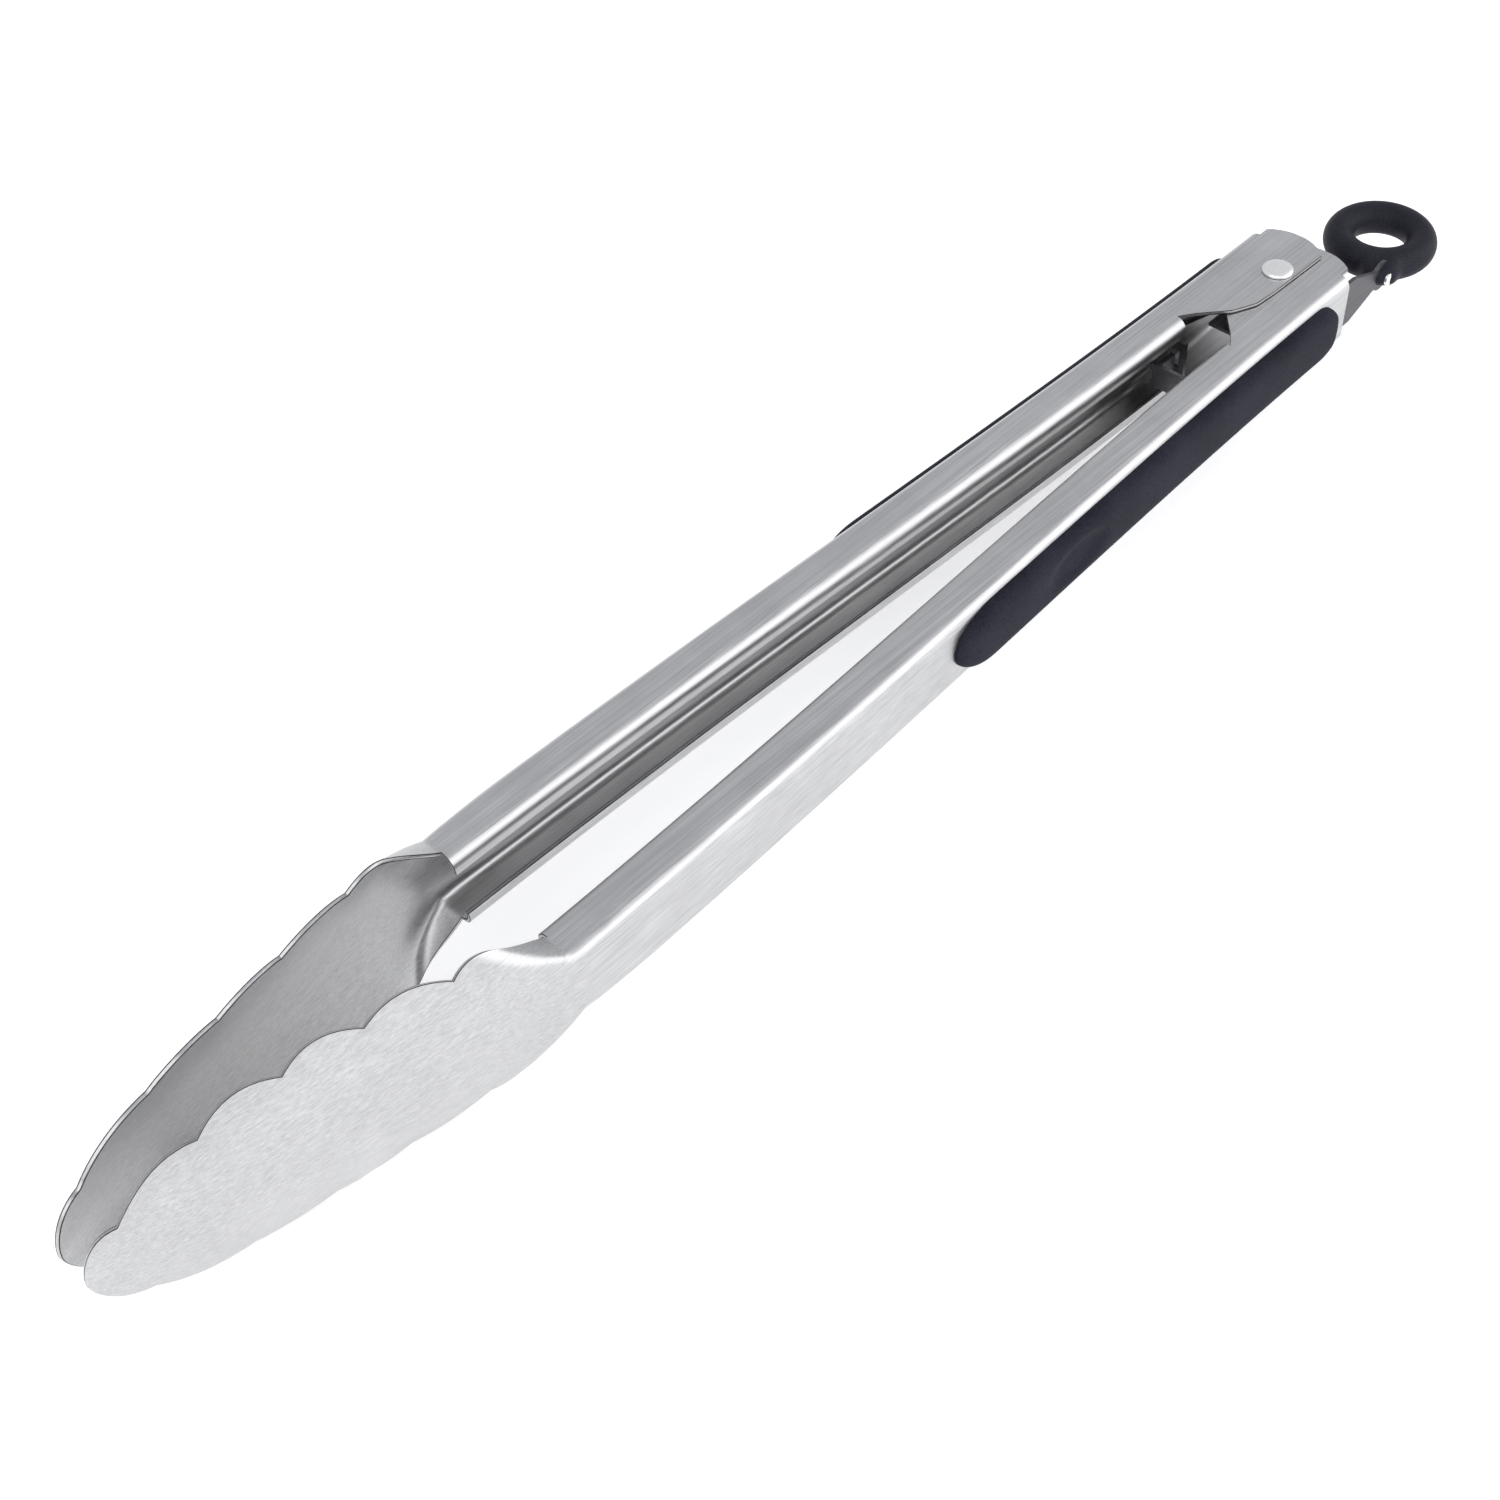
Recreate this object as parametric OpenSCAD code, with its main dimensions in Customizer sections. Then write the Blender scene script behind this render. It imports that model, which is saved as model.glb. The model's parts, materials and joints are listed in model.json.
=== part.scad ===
// Spring loaded kitchen tongs: two sheet steel arms with scalloped scoops, hinged on one rivet
// at the tail, opened by a torsion spring and latched shut by a slider with a pull ring.
// X runs along the tongs (scoops at -X, ring at +X), the arms open along Y and the rivet is
// along Z. Outlines are drawn with the rivet at x = 0 and the middle plane at z = 0; placed()
// then moves everything so that the origin is under the centre of the whole object's box.

/* [Arms] */
// Distance from the rivet to the neck, where the flanges end and the scoop begins
neck_u = 243.5; // [235:0.5:246]
// Distance from the middle plane to the outside of an arm at the rivet
back_y0 = 14.4; // [14:0.1:15.5]
// How much further from the middle plane the back is at the scoop than at the rivet
back_flare = 6.5; // [5:0.1:7]
// Thickness of the sheet steel
sheet = 0.9; // [0.8:0.05:1]
// Width of an arm's flanges, from the back to the free edge
flange_w = 9.9; // [9:0.1:11]
// Depth of the turned-in lip along each free edge
lip_h = 4.2; // [2.5:0.1:4.5]
// Half height of the wider, rear arm
rear_half_h = 10.0; // [9.5:0.1:10.5]
// Gap between the nested flanges of the two arms
nest_gap = 0.1; // [0.1:0.05:0.3]

/* [Scoops] */
// Distance of the scoop's axis beyond the middle plane
scoop_axis_y = 30; // [26:1:34]
// How fast the scoop's back nears the middle plane, in mm per mm
scoop_taper = 0.15; // [0.13:0.01:0.16]
// Height by which each scallop bulges past the notches beside it
scallop_rise = 2.4; // [0.8:0.1:2.6]

/* [Grips] */
// Where the grip starts, towards the ring
grip_tail_x = 4; // [2:0.5:8]
// Length of the grip
grip_len = 143; // [130:1:150]
// Half height of the front grip
grip_half_h = 7.2; // [6:0.1:7.5]
// How much the rear grip's half height is over the front one's
rear_grip_extra = 0.6; // [0:0.1:0.8]
// How far the grip stands out of the arm
grip_t = 3.0; // [2:0.1:3.2]

/* [Pivot] */
// Radius of the rivet's shank
rivet_r = 2.5; // [2:0.1:3]
// Radius of the rivet's heads
head_r = 3.75; // [3.3:0.05:4.5]
// Running clearance on the rivet
fit = 0.05; // [0.02:0.01:0.1]
// Diameter of the spring wire
wire_d = 1.5; // [1.2:0.1:1.8]
// Mean radius of the spring's coil
coil_r = 4.8; // [4.6:0.1:5.5]
// Number of turns in the coil
turns = 4; // [3:1:5]

/* [Lock] */
// How far the slider is pushed in to release the arms
push_in = 7; // [6:0.5:8]
// How far the slider is pulled out to latch the arms
pull_out = 3.4; // [3:0.1:3.8]
// Height of the slider strip
slider_h = 12; // [10:0.5:13]
// Distance from the rivet to the keeper, on the scoop side
keeper_u = 30.5; // [29:0.5:33]

/* [Ring] */
// Radius of the ring, to the middle of its section
ring_r = 10.1; // [9.9:0.1:10.1]
// Radius of the ring's section
ring_section_r = 3.9; // [3.8:0.1:4]
// Radius of the hole left through the ring
ring_hole_r = 6.4; // [6.35:0.05:6.7]
// Place of the ring's centre beyond the rivet
ring_x = 40; // [39:0.1:41]
// Place of the ring's centre across the tongs
ring_y = -4.8; // [-5.5:0.1:-4.5]

/* [Hidden] */
$fn = 64;

front_half_h = rear_half_h - sheet - nest_gap;
inner_half_h = front_half_h - sheet;

// Scoop: the notches between the scallops as [distance from the rivet, half height]
notches = [[263, 16.8], [279, 18.0], [293.5, 18.2], [309, 16.6], [325.5, 9.6]];
taper_start = 240;
tip_start = 305;
scoop_end = 339;
tip_u = 333.7;
scallop_steps = 8;
shoulder = [254, 17.2];
shoulder_rise = 1.6;
// Nearest that a scallop's edge comes to the middle plane
scoop_min_y = 3.2;
scoop_steps = 26;

// Whole object's box, for the origin: the third scallop is the widest
total_half_h = (notches[1][1] + notches[2][1]) / 2 + scallop_rise;
centre_x = (ring_x + ring_r + ring_section_r - tip_u) / 2;

// Pivot end of the flanges
lobe_u = -3.4;
lobe_y = 4.0;
lobe_r = 11.9;
lobe_edge_y = -4.5;
step_u = [7, 13.5, 19.4, 26, 29.5];
step_y = [-4.1, -3.6, -0.9, 5.1, back_y0 - flange_w];
flare_len = 255;

// Slider strip, flat against the inside of the front arm's back
strip_t = 1.0;
strip_gap = 0.25;
strip_y0 = -(back_y0 - sheet - strip_gap);
eye_x = 27.5;
eye_r = 1.7;
tab_r = 3.7;
taper_x = 14.5;
cross_x = -39.5;
finger_tip_x = -32.2;
finger_y = [5.2, 6.4];
finger_half_h = 2.0;
guide_x = -14;
guide_r = 1.7;
slot_r = guide_r + 0.2;
guide_head_r = 3.1;
guide_head_gap = 0.15;

// Keeper
keeper_half_h = 4.7;

// Ears of the slider's cross piece, seen through the window at the step
ear_x = [-22, -14];
ear_top_y = 3.5;
ear_z = 5.2;
ear_t = 0.8;
keeper_foot = 7;
window_y = [4.9, 8.2];
keeper_low_y = 3.4;

// Keys that hold a grip in its arm
key_u = [62, 112];
key_r = 2.4;
key_head_r = 3.4;
key_head_t = 1.2;
key_gap = 0.2;
crown_inset = 1.4;

// Spring, coiled round the sleeve
coil_pitch = wire_d * 0.94;
leg_len = 27;
leg_gap = 0.25;
coil_gap = 0.2;

// Ring's boss, slotted for the strip's tab
ring_slot_w = 1.7;
pin_r = 1.6;
hub_r = 3.4;
hub_len = 7.4;
head_h = 1.5;

module placed() {
    translate([-centre_x, 0, total_half_h]) children();
}

// The distance u is measured from the rivet towards the scoops
// and the arm's back flares out smoothly on the way
function ease(t) = t <= 0 ? 0 : t >= 1 ? 1 : t * t * (3 - 2 * t);
function back_y(u) = back_y0 + back_flare * ease(u / flare_len);
function stations(from, to, n) = [for (i = [0:n]) from + (to - from) * i / n];
function reversed(list) = [for (i = [len(list) - 1:-1:0]) list[i]];

// Ribbon that follows the arm's back between two depths below its outer face
module back_ribbon(from, to, outer, inner, n = 24) {
    us = stations(from, to, n);
    polygon(concat(
        [for (u = us) [-u, back_y(u) - outer]],
        [for (u = reversed(us)) [-u, back_y(u) - inner]]
    ));
}

// Points on an arc from p to q that bulges by rise to the left of the way from p to q
function arc_points(p, q, rise, n) =
    let (
        chord = norm(q - p),
        r = (chord * chord / 4 + rise * rise) / (2 * rise),
        dir = (q - p) / chord,
        left = [-dir[1], dir[0]],
        centre = (p + q) / 2 + left * (rise - r),
        half = asin(chord / 2 / r),
        span = rise > r ? 180 - half : half
    )
    [for (i = [0:n - 1])
        let (a = -span + 2 * span * i / n)
        centre + r * (left * cos(a) + dir * sin(a))
    ];

// Radius of the scoop's body at a distance u from the rivet
function tip_round(u) =
    u <= tip_start ? 1 : pow(1 - pow((u - tip_start) / (scoop_end - tip_start), 3), 0.75);
function scoop_back_y(u) = back_y0 + back_flare - scoop_taper * max(0, u - taper_start);
function body_r(u) = scoop_axis_y + scoop_back_y(u) * tip_round(u);
function body_slope(u) = (body_r(u + 0.05) - body_r(u - 0.05)) / 0.1;
// Point of the body's profile, moved inward along its normal
function body_point(u, inward) =
    let (k = 1 / sqrt(1 + pow(body_slope(u), 2)))
    [body_r(u) - inward * k, u + inward * k * body_slope(u)];

module scoop_wall() {
    us = stations(neck_u - 5, tip_u + 1.2, scoop_steps);
    translate([0, -scoop_axis_y, 0]) rotate([0, -90, 0])
    rotate_extrude(angle = 180, $fn = 96)
    polygon(concat(
        [for (u = us) body_point(u, 0)],
        [for (u = reversed(us)) body_point(u, sheet)]
    ));
}

// Scalloped outline of one half of the scoop, from the neck to the tip
function half_outline() =
    let (last = len(notches) - 1)
    concat(
        [[neck_u - 4, front_half_h], [neck_u, front_half_h]],
        arc_points(shoulder, notches[0], shoulder_rise, scallop_steps),
        [for (i = [0:last - 1])
            for (p = arc_points(notches[i], notches[i + 1], scallop_rise, scallop_steps)) p
        ],
        arc_points(notches[last], [tip_u, 0], scallop_rise, scallop_steps)
    );

module scoop_outline() {
    half = half_outline();
    polygon(concat(
        [for (p = half) [-p[0], p[1]]],
        [[-tip_u, 0]],
        [for (p = reversed(half)) [-p[0], -p[1]]]
    ));
}

module scoop() {
    intersection() {
        scoop_wall();
        rotate([90, 0, 0]) linear_extrude(60, center = true) scoop_outline();
        translate([-tip_u - 5, scoop_min_y, -30]) cube([tip_u - neck_u + 15, 40, 60]);
    }
}

// Outline of a flange, seen along the rivet
module flange_outline() {
    lip_start = step_u[len(step_u) - 1];
    back_ribbon(lip_start, neck_u, 0, flange_w);
    polygon(concat(
        [for (u = stations(-9, lip_start, 8)) [-u, back_y(u)]],
        [for (i = [len(step_u) - 1:-1:0]) [-step_u[i], step_y[i]]],
        [[9, lobe_edge_y]]
    ));
    intersection() {
        translate([-lobe_u, lobe_y]) circle(lobe_r, $fn = 96);
        translate([-lobe_u, lobe_edge_y]) square([lobe_r, back_y0 - lobe_edge_y]);
    }
}

module arm_sheet(half_h) {
    difference() {
        union() {
            linear_extrude(2 * half_h, center = true) back_ribbon(-11.3, neck_u + 1, 0, sheet);
            for (side = [-1, 1]) {
                translate([0, 0, side * (half_h - sheet / 2)])
                linear_extrude(sheet, center = true) flange_outline();
                translate([0, 0, side * (half_h - lip_h / 2)])
                linear_extrude(lip_h, center = true)
                back_ribbon(step_u[len(step_u) - 1], neck_u, flange_w - sheet, flange_w);
            }
            scoop();
        }
        cylinder(h = 40, r = rivet_r + fit, center = true);
        for (u = key_u) {
            translate([-u, back_y(u), 0]) rotate([90, 0, 0])
            cylinder(h = 8, r = key_r, center = true);
        }
    }
}

module rear_arm() {
    color("silver") placed() arm_sheet(rear_half_h);
}

module front_arm() {
    color("silver") placed()
    difference() {
        mirror([0, 1, 0]) arm_sheet(front_half_h);
        on_strip(guide_x) rotate([90, 0, 0]) cylinder(h = 12, r = guide_r + fit, center = true);
    }
}

module grip_outline(half_h, inset) {
    r = half_h - inset;
    tail_x = grip_tail_x - half_h;
    head_x = grip_tail_x - grip_len + half_h;
    translate([tail_x, 0]) circle(r);
    translate([head_x, 0]) circle(r);
    translate([head_x, -r]) square([tail_x - head_x, 2 * r]);
}

module grip(half_h) {
    for (inset = [0, crown_inset]) intersection() {
        depth = inset == 0 ? grip_t - crown_inset : grip_t;
        linear_extrude(40, center = true) back_ribbon(-11.3, neck_u + 1, -depth, 0);
        rotate([90, 0, 0]) linear_extrude(80, center = true) grip_outline(half_h, inset);
    }
    for (u = key_u) {
        translate([-u, back_y(u), 0]) rotate([90, 0, 0]) {
            translate([0, 0, -0.5]) cylinder(h = sheet + key_gap + 1, r = key_r - fit);
            translate([0, 0, sheet + key_gap]) cylinder(h = key_head_t, r = key_head_r);
        }
    }
}

module rear_grip() {
    color("dimgray") placed() grip(grip_half_h + rear_grip_extra);
}

module front_grip() {
    color("dimgray") placed() mirror([0, 1, 0]) grip(grip_half_h);
}

// Domed head with its flat face at z = 0
module domed_head(r, h) {
    ball_r = (r * r + h * h) / (2 * h);
    intersection() {
        translate([0, 0, h - ball_r]) sphere(ball_r);
        cylinder(h = h, r = r);
    }
}

module pivot_rivet() {
    color("gainsboro") placed() {
        cylinder(h = 2 * rear_half_h, r = rivet_r, center = true);
        for (side = [0, 1]) {
            mirror([0, 0, side]) translate([0, 0, rear_half_h]) domed_head(head_r, head_h);
        }
    }
}

module spacer_sleeve() {
    color("lightgray") placed()
    difference() {
        cylinder(h = 2 * (inner_half_h - fit), r = coil_r - wire_d / 2 - coil_gap, center = true);
        cylinder(h = 40, r = rivet_r + fit, center = true);
    }
}

// Coil as stacked rings of wire, with one straight leg to each arm
module torsion_spring() {
    top_z = (turns - 1) / 2 * coil_pitch;
    color("darkgray") placed() {
        rotate_extrude() for (i = [0:turns - 1]) {
            translate([coil_r, i * coil_pitch - top_z]) circle(wire_d / 2);
        }
        for (side = [-1, 1]) {
            strip_depth = side < 0 ? strip_t + strip_gap : 0;
            reach = back_y(leg_len) - sheet - wire_d / 2 - strip_depth - leg_gap;
            tilt = atan((reach - coil_r) / leg_len);
            translate([0, side * coil_r, side * top_z])
            rotate([0, 0, -side * tilt]) rotate([0, -90, 0])
            cylinder(h = leg_len, r = wire_d / 2);
        }
    }
}

// Moves its child to the inner face of the slider strip at the place x
module on_strip(x) {
    translate([x, strip_y0, 0]) children();
}

// Side view of the slider: a strip that narrows to a round tab with an eye
module slider_outline() {
    half = slider_h / 2;
    difference() {
        union() {
            translate([eye_x, 0]) circle(tab_r);
            polygon([
                [cross_x, -half], [taper_x, -half], [eye_x - 3.5, -2.6], [eye_x, -2.6],
                [eye_x, 2.6], [eye_x - 3.5, 2.6], [taper_x, half], [cross_x, half]
            ]);
        }
        translate([eye_x, 0]) circle(eye_r);
        for (x = [guide_x - pull_out, guide_x + push_in]) translate([x, 0]) circle(slot_r);
        translate([guide_x - pull_out, -slot_r]) square([push_in + pull_out, 2 * slot_r]);
    }
}

module lock_slider() {
    cross_end = finger_y[1] - strip_y0;
    color("gray") placed() {
        on_strip(0) rotate([90, 0, 0]) translate([0, 0, -strip_t])
        linear_extrude(strip_t) slider_outline();
        on_strip(cross_x) translate([0, 0, -finger_half_h - 1])
        cube([strip_t, cross_end, 2 * finger_half_h + 2]);
        on_strip(cross_x) translate([0, finger_y[0] - strip_y0, -finger_half_h])
        cube([finger_tip_x - cross_x, finger_y[1] - finger_y[0], 2 * finger_half_h]);
        for (side = [0, 1]) mirror([0, 0, side]) on_strip(ear_x[0]) {
            translate([0, 0, ear_z]) cube([ear_x[1] - ear_x[0], ear_top_y - strip_y0, ear_t]);
        }
    }
}

module guide_rivet() {
    foot_z = -(strip_gap + sheet - 0.1);
    head_z = strip_t + guide_head_gap;
    color("gainsboro") placed()
    on_strip(guide_x) rotate([-90, 0, 0]) {
        translate([0, 0, foot_z]) cylinder(h = head_z - foot_z + 0.05, r = guide_r);
        translate([0, 0, head_z]) domed_head(guide_head_r, 1.0);
    }
}

// Keeper: a foot on the rear arm's back and a windowed blade that the finger slides through
module lock_keeper() {
    foot_y = back_y(keeper_u) - sheet;
    color("lightgray") placed()
    difference() {
        union() {
            intersection() {
                linear_extrude(2 * keeper_half_h, center = true)
                back_ribbon(-11.3, neck_u + 1, sheet + 0.02, 2 * sheet + 0.02);
                translate([-keeper_u - keeper_foot, 0, -10]) cube([keeper_foot, 40, 20]);
            }
            translate([-keeper_u - sheet / 2, keeper_low_y, -keeper_half_h])
            cube([sheet, foot_y - keeper_low_y - 0.05, 2 * keeper_half_h]);
        }
        translate([-keeper_u, (window_y[0] + window_y[1]) / 2, 0])
        cube([5, window_y[1] - window_y[0], 2 * finger_half_h + 0.8], center = true);
    }
}

// Moves its child to the middle of the eye, with Z along the pin
module at_eye() {
    on_strip(eye_x) translate([0, strip_t / 2, 0]) rotate([-90, 0, 0]) children();
}

module ring_pin() {
    color("silver") placed() at_eye() cylinder(h = hub_len, r = pin_r, center = true);
}

module pull_ring() {
    color("#25252b") placed()
    difference() {
        union() {
            translate([ring_x, ring_y, 0]) rotate_extrude($fn = 96)
            translate([ring_r, 0]) circle(ring_section_r, $fn = 48);
            at_eye() cylinder(h = hub_len, r = hub_r, center = true);
        }
        translate([ring_x, ring_y, 0]) cylinder(h = 40, r = ring_hole_r, center = true);
        at_eye() cylinder(h = ring_slot_w, r = tab_r + 0.6, center = true);
        at_eye() cylinder(h = hub_len + 0.2, r = pin_r + 0.02, center = true);
    }
}

rear_arm();
front_arm();
rear_grip();
front_grip();
pivot_rivet();
spacer_sleeve();
torsion_spring();
lock_slider();
guide_rivet();
lock_keeper();
ring_pin();
pull_ring();
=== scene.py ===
"""Looks of the spring loaded kitchen tongs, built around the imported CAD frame.

Shapes are worked out in the tongs' own millimetres: u runs from the rivet towards the scoops,
y is an arm's own side (+ towards that arm's back) and z is measured from the middle plane.
"""

import json
import math

import bpy
import numpy as np
from mathutils import Matrix, Vector


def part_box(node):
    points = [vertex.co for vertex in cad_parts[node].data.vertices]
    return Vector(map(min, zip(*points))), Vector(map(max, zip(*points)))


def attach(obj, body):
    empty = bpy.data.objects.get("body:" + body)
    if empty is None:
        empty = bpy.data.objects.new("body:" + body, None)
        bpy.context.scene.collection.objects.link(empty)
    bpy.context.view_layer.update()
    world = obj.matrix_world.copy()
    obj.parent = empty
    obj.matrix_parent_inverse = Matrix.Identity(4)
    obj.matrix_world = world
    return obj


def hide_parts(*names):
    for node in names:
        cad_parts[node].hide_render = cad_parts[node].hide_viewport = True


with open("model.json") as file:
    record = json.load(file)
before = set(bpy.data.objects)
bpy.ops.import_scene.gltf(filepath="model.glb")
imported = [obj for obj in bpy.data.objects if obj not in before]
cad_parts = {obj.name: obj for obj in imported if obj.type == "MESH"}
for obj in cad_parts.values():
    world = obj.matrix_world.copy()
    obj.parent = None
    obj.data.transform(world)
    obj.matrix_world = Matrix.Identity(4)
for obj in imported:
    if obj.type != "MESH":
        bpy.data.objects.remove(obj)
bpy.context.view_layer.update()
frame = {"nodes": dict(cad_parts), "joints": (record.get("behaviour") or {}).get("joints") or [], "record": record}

MM = 0.001
JOINTS = {joint["name"]: joint for joint in frame["joints"]}


# ---------------------------------------------------------------- dimensions

PIVOT = Vector(JOINTS["jaw_hinge"]["pos_m"])
GRIP_LOW, GRIP_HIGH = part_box("front_grip")
RING_LOW, RING_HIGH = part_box("pull_ring")
RIVET_LOW, RIVET_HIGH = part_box("pivot_rivet")
SPRING_LOW, SPRING_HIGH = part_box("torsion_spring")

# The channels, in millimetres. The back flares out towards the scoops
SHEET = 0.9
TIP_U = (PIVOT.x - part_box("rear_arm")[0].x) / MM
NECK_U = TIP_U - 90.2
BACK_Y0 = 14.4
BACK_FLARE = 6.5
FLARE_LEN = 255
FLANGE_W = 9.9
LIP_H = 4.2
FOLD_R = 2.8
LIP_FOLD_R = 3.0
REAR_HALF_H = 10.0
FRONT_HALF_H = 9.0

# The scoops: a round body about an axis beyond the middle plane, and a scalloped rim that runs
# from the shoulder over the notches, each given as (u, z)
SCOOP_AXIS_Y = 30
SCOOP_TAPER = 0.15
TAPER_START = TIP_U - 93.7
TIP_START = TIP_U - 28.7
SCOOP_END = TIP_U + 6.8
# Powers that close the scoop's body, and then its rim, at the tip
TIP_FULLNESS, TIP_BLUNTNESS = 3, 0.75
RIM_TIP_FULLNESS, RIM_TIP_BLUNTNESS, RIM_TIP_BULGE = 2.1, 0.62, 0.5
SCALLOP_RISE = 2.4
NOTCHES = [(TIP_U - 70.7, 16.8), (TIP_U - 54.7, 18.0), (TIP_U - 40.2, 18.2),
           (TIP_U - 24.7, 16.6), (TIP_U - 8.2, 9.6)]
SHOULDER = (TIP_U - 79.7, 17.2)
SHOULDER_RISE = 1.6
# Keeps the rim on the round body where the body closes below the rim's height
MAX_SINE = 0.999

# The rivet's end: a round lobe, then the step, as (u, y), that takes the flange's edge to the lip
LOBE_U, LOBE_Y, LOBE_R = -3.4, 4.0, 11.9
LOBE_EDGE_Y = -4.5
WALL_TAIL_U = -9.6
STEP = [(-9.0, LOBE_EDGE_Y), (7.0, -4.1), (13.5, -3.6), (19.4, -0.9), (26.0, 5.1),
        (29.5, BACK_Y0 - FLANGE_W + LIP_FOLD_R)]
LIP_START_U = STEP[-1][0]
STEP_ROUND = 0.7
STEP_SAMPLES = 6
RIVET_HOLE_R = 2.55
# How far outside its circle the hole's edge may lie before it is rounded
HOLE_EDGE_STRAY = 0.9

SIDE = {"rear_arm": 1, "front_arm": -1}
HALF_H = {"rear_arm": REAR_HALF_H, "front_arm": FRONT_HALF_H}


def place(points, side=1):
    """Points (u, own y, z) in millimetres as frame coordinates in metres."""
    pts = np.asarray(points, float)
    out = np.empty_like(pts)
    out[:, 0] = PIVOT.x - pts[:, 0] * MM
    out[:, 1] = PIVOT.y + side * pts[:, 1] * MM
    out[:, 2] = PIVOT.z + pts[:, 2] * MM
    return out


def ease(t):
    t = min(1.0, max(0.0, t))
    return t * t * (3 - 2 * t)


def back_y(u):
    return BACK_Y0 + BACK_FLARE * ease(u / FLARE_LEN)


def spaced(start, end, count):
    return [start + (end - start) * i / count for i in range(count + 1)]


# ---------------------------------------------------------------- mesh helpers

TINY = 1e-12


def signed_volume(verts, faces):
    """Six times the volume inside a closed mesh, negative when its faces look inward."""
    total = 0.0
    for face in faces:
        origin = verts[face[0]]
        for i in range(1, len(face) - 1):
            total += float(np.dot(origin, np.cross(verts[face[i]], verts[face[i + 1]])))
    return total


def new_object(name, verts, faces, smooth_angle=40):
    verts = np.asarray(verts, float)
    if signed_volume(verts, faces) < 0:
        faces = [tuple(reversed(face)) for face in faces]
    mesh = bpy.data.meshes.new(name)
    mesh.from_pydata([tuple(v) for v in verts], [], faces)
    mesh.validate()
    mesh.shade_smooth()
    mesh.set_sharp_from_angle(angle=math.radians(smooth_angle))
    obj = bpy.data.objects.new(name, mesh)
    bpy.context.scene.collection.objects.link(obj)
    return obj


def vertex_normals(verts, faces):
    normals = np.zeros_like(verts)
    for face in faces:
        p = verts[list(face)]
        n = np.zeros(3)
        for i in range(len(face)):
            n += np.cross(p[i], p[(i + 1) % len(face)])
        normals[list(face)] += n
    length = np.linalg.norm(normals, axis=1, keepdims=True)
    return normals / np.maximum(length, TINY)


def turned(face, flip):
    return tuple(reversed(face)) if flip else face


def open_edges(faces):
    """Directed edges that have a face of the open sheet on one side only."""
    edges = set()
    for face in faces:
        for i in range(len(face)):
            edges.add((face[i], face[(i + 1) % len(face)]))
    return [(a, b) for a, b in sorted(edges) if (b, a) not in edges]


def edge_directions(verts, normals, edges):
    """For each vertex of the open edges, the direction in the sheet that points out of it."""
    outward = {v: np.zeros(3) for v in sorted({v for edge in edges for v in edge})}
    for a, b in edges:
        away = np.cross(verts[b] - verts[a], (normals[a] + normals[b]) / 2)
        size = np.linalg.norm(away)
        if size > TINY:
            outward[a] += away / size
            outward[b] += away / size
    return {v: away / max(np.linalg.norm(away), TINY) for v, away in outward.items()}


# Depths across the cut edge, as shares of the sheet, and how far each stands out
EDGE_ROWS = ((0.22, 0.75), (0.5, 1.0), (0.78, 0.75))
EDGE_STRIPS = len(EDGE_ROWS) + 1
EDGE_ROUND = 0.1


def thicken(verts, faces, thickness, round_out):
    """A closed sheet: the given outer face, an inner face and a softly rounded edge."""
    normals = vertex_normals(verts, faces)
    count = len(verts)
    inner = verts - normals * thickness
    edges = open_edges(faces)
    outward = edge_directions(verts, normals, edges)
    rows = []
    extra = []
    for depth, push in EDGE_ROWS:
        row = {}
        for v, away in outward.items():
            row[v] = 2 * count + len(extra)
            extra.append(verts[v] - normals[v] * thickness * depth + away * round_out * push)
        rows.append(row)
    all_verts = np.vstack([verts, inner, np.array(extra)])
    all_faces = [tuple(face) for face in faces]
    all_faces += [tuple(v + count for v in reversed(face)) for face in faces]
    chain = [{v: v for v in outward}] + rows + [{v: v + count for v in outward}]
    for a, b in edges:
        for upper, lower in zip(chain, chain[1:]):
            all_faces.append((upper[b], upper[a], lower[a], lower[b]))
    return all_verts, all_faces


def drop_unused(verts, faces):
    used = sorted({v for face in faces for v in face})
    index = {v: i for i, v in enumerate(used)}
    return np.asarray(verts)[used], [tuple(index[v] for v in face) for face in faces]


ON_AXIS = 1e-6


def lathe(profile, segments):
    """Closed solid of revolution about z from (radius, z) points that start and end on the axis."""
    verts = []
    faces = []
    rings = []
    for radius, z in profile:
        if radius < ON_AXIS:
            rings.append([len(verts)])
            verts.append((0, 0, z))
            continue
        ring = []
        for i in range(segments):
            angle = 2 * math.pi * i / segments
            ring.append(len(verts))
            verts.append((radius * math.cos(angle), radius * math.sin(angle), z))
        rings.append(ring)
    for low, high in zip(rings, rings[1:]):
        for i in range(segments):
            j = (i + 1) % segments
            if len(low) == 1:
                faces.append((low[0], high[j], high[i]))
            elif len(high) == 1:
                faces.append((low[i], low[j], high[0]))
            else:
                faces.append((low[i], low[j], high[j], high[i]))
    return np.array(verts), faces


def wire_frames(path):
    """Point, tangent and two cross directions along a path, carried on without twist."""
    path = np.asarray(path, float)
    tangents = np.gradient(path, axis=0)
    tangents /= np.linalg.norm(tangents, axis=1, keepdims=True)
    up = np.array([0, 0, 1.0])
    if abs(tangents[0] @ up) > 0.9:
        up = np.array([1.0, 0, 0])
    normal = np.cross(tangents[0], up)
    normal /= np.linalg.norm(normal)
    frames = []
    for point, tangent in zip(path, tangents):
        normal = normal - tangent * (normal @ tangent)
        normal /= np.linalg.norm(normal)
        frames.append((point, tangent, normal, np.cross(tangent, normal)))
    return frames


# Radii of the rings that round off a wire's end, and the bulge, as shares of the wire's radius
CAP_RADII = (0.55, 0.85)
CAP_BULGE = 0.35
WIRE_SIDES = 20


def wire_cap(end_frame, radius, way):
    """Narrower rings past a wire's end, the outermost one first."""
    point, tangent, side, top = end_frame
    return [(point + way * tangent * radius * CAP_BULGE * (1 - share * share), side, top, radius * share)
            for share in CAP_RADII]


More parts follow.
